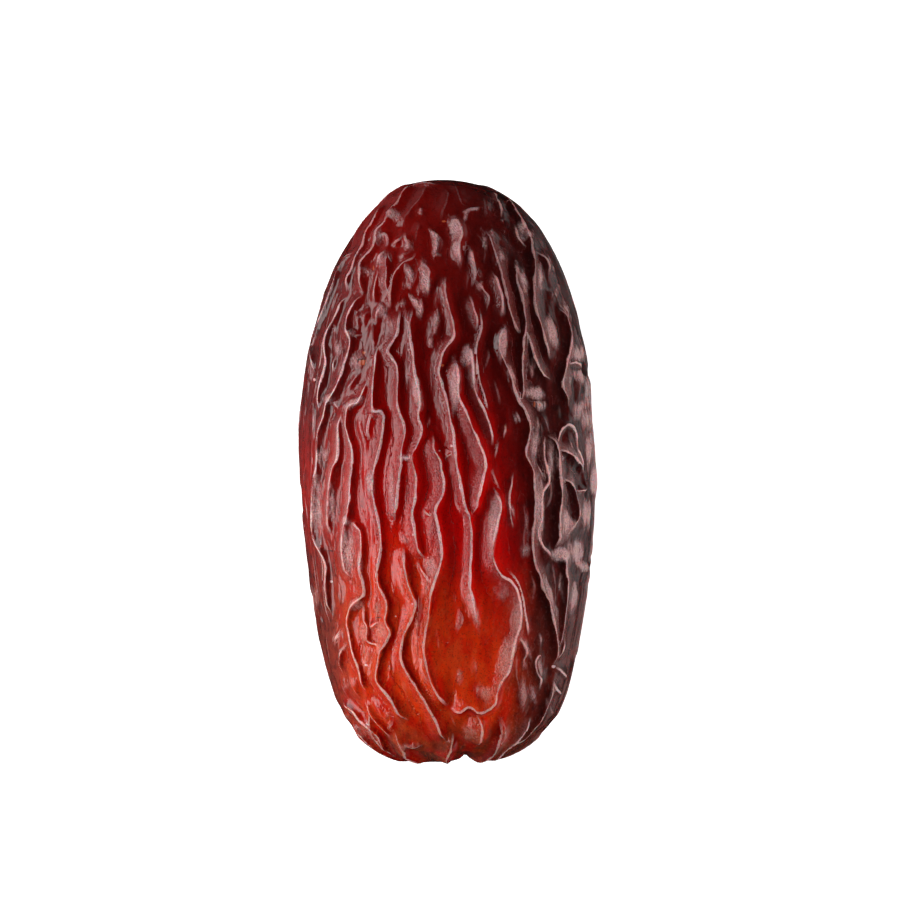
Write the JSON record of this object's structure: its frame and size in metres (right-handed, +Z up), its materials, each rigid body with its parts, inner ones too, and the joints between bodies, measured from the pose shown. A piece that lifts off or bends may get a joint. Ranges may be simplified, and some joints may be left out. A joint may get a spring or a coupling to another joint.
{
  "type": "medjool date",
  "caption": "Whole dried date lying on its side: a long rounded fruit with a blunt stem end and glossy skin folded into lengthwise wrinkles.",
  "frame": {"origin": "middle of the fruit's plan view, on the surface that it lies on", "axes": "+Y along the fruit towards its rounded tip, +X across its width, +Z up from the surface that it lies on"},
  "size_m": [0.0248, 0.0484, 0.0225],
  "materials": {
    "date_skin": "glossy dark red-brown fruit skin"
  },
  "bodies": {
    "root": {"medjool_date": "date_skin"}
  },
  "joints": []
}
